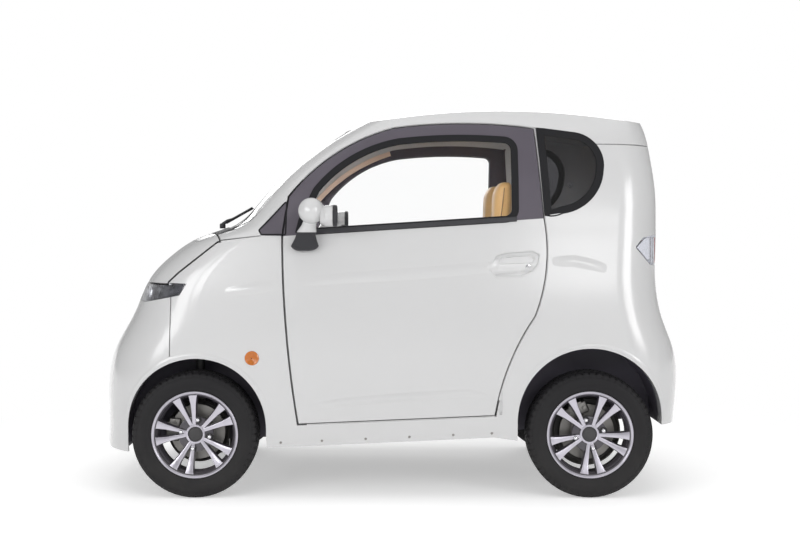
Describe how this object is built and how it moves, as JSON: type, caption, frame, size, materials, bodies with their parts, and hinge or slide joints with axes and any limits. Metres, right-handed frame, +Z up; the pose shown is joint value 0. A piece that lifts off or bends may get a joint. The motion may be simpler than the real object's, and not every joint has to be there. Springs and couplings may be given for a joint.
{
  "type": "microcar",
  "caption": "Short, tall two-seat electric microcar with arched side windows, hinged doors, bonnet and tailgate, steered front wheels and split-spoke rims.",
  "frame": {"origin": "on the ground under the middle of the car's length and width", "axes": "+X towards the tail, +Y towards the car's right side, +Z up; the nose points to -X"},
  "size_m": [2.3745, 1.588, 1.5549],
  "materials": {
    "paint": "gloss white",
    "frame_grey": "satin dark grey",
    "black_plastic": "grained black",
    "glass": "clear",
    "privacy_glass": "dark tinted",
    "tyre": "black rubber",
    "alloy": "machined face, dark pockets",
    "lamp": "clear lens",
    "red_lamp": "smoked red lens",
    "amber_lamp": "amber lens",
    "tan_leather": "tan",
    "chassis": "satin black",
    "steel": "bare",
    "battery": "satin"
  },
  "bodies": {
    "body": {"underbody": "chassis", "battery_pack": "battery", "front_bumper": "paint", "fender_left": "paint", "fender_right": "paint", "roof": "paint", "quarter_left": "paint", "quarter_right": "paint", "rear_bumper": "paint", "windscreen": "glass", "scuttle": "black_plastic", "quarter_glass": "privacy_glass", "corner_trims": "frame_grey", "headlamps": "lamp", "tail_lamps": "red_lamp", "side_markers": "amber_lamp", "wheel_liners": "black_plastic", "dashboard": "black_plastic", "seat_cushions": "tan_leather", "seat_backs": "tan_leather", "suspension": "steel", "wiper": "black_plastic"},
    "bonnet": {"bonnet": "paint"},
    "tailgate": {"tailgate": "paint", "tailgate_glass": "glass"},
    "steering_wheel": {"steering_wheel": "black_plastic"},
    "door_left": {"door_panel_left": "paint", "door_frame_left": "frame_grey", "door_glass_left": "glass", "mirror_left": "paint"},
    "knuckle_left": {"knuckle_left": "steel"},
    "wheel_front_left": {"tyre_front_left": "tyre", "rim_front_left": "alloy"},
    "wheel_rear_left": {"tyre_rear_left": "tyre", "rim_rear_left": "alloy"},
    "door_right": {"door_panel_right": "paint", "door_frame_right": "frame_grey", "door_glass_right": "glass", "mirror_right": "paint"},
    "knuckle_right": {"knuckle_right": "steel"},
    "wheel_front_right": {"tyre_front_right": "tyre", "rim_front_right": "alloy"},
    "wheel_rear_right": {"tyre_rear_right": "tyre", "rim_rear_right": "alloy"}
  },
  "joints": [
    {"name": "wheel_front_left_spin", "type": "hinge", "parent": "knuckle_left", "child": "wheel_front_left", "pos_m": [-0.758, -0.55, 0.247], "axis": [0, -1, 0], "continuous": true},
    {"name": "wheel_rear_left_spin", "type": "hinge", "parent": "body", "child": "wheel_rear_left", "pos_m": [0.786, -0.55, 0.247], "axis": [0, -1, 0], "continuous": true},
    {"name": "steer_left", "type": "hinge", "parent": "body", "child": "knuckle_left", "pos_m": [-0.758, -0.47, 0.2525], "axis": [0, 0, 1], "range_deg": [-28, 28]},
    {"name": "door_left_hinge", "type": "hinge", "parent": "body", "child": "door_left", "pos_m": [-0.465, -0.63, 0.7], "axis": [0, 0, -1], "range_deg": [0, 65]},
    {"name": "wheel_front_right_spin", "type": "hinge", "parent": "knuckle_right", "child": "wheel_front_right", "pos_m": [-0.758, 0.55, 0.247], "axis": [0, -1, 0], "continuous": true},
    {"name": "wheel_rear_right_spin", "type": "hinge", "parent": "body", "child": "wheel_rear_right", "pos_m": [0.786, 0.55, 0.247], "axis": [0, -1, 0], "continuous": true},
    {"name": "steer_right", "type": "hinge", "parent": "body", "child": "knuckle_right", "pos_m": [-0.758, 0.47, 0.2525], "axis": [0, 0, 1], "range_deg": [-28, 28]},
    {"name": "door_right_hinge", "type": "hinge", "parent": "body", "child": "door_right", "pos_m": [-0.465, 0.63, 0.7], "axis": [0, 0, 1], "range_deg": [0, 65]},
    {"name": "steering_wheel_turn", "type": "hinge", "parent": "body", "child": "steering_wheel", "pos_m": [-0.125, -0.27, 0.896], "axis": [0.9272, 0, 0.3746], "range_deg": [-420, 420]},
    {"name": "bonnet_hinge", "type": "hinge", "parent": "body", "child": "bonnet", "pos_m": [-0.6, 0, 1.025], "axis": [0, 1, 0], "range_deg": [0, 60]},
    {"name": "tailgate_hinge", "type": "hinge", "parent": "body", "child": "tailgate", "pos_m": [1.07, 0, 1.412], "axis": [0, -1, 0], "range_deg": [0, 80]}
  ],
  "couplings": [
    {"joint": "steer_right", "follows": "steer_left", "ratio": 1},
    {"joint": "steering_wheel_turn", "follows": "steer_left", "ratio": 15}
  ]
}
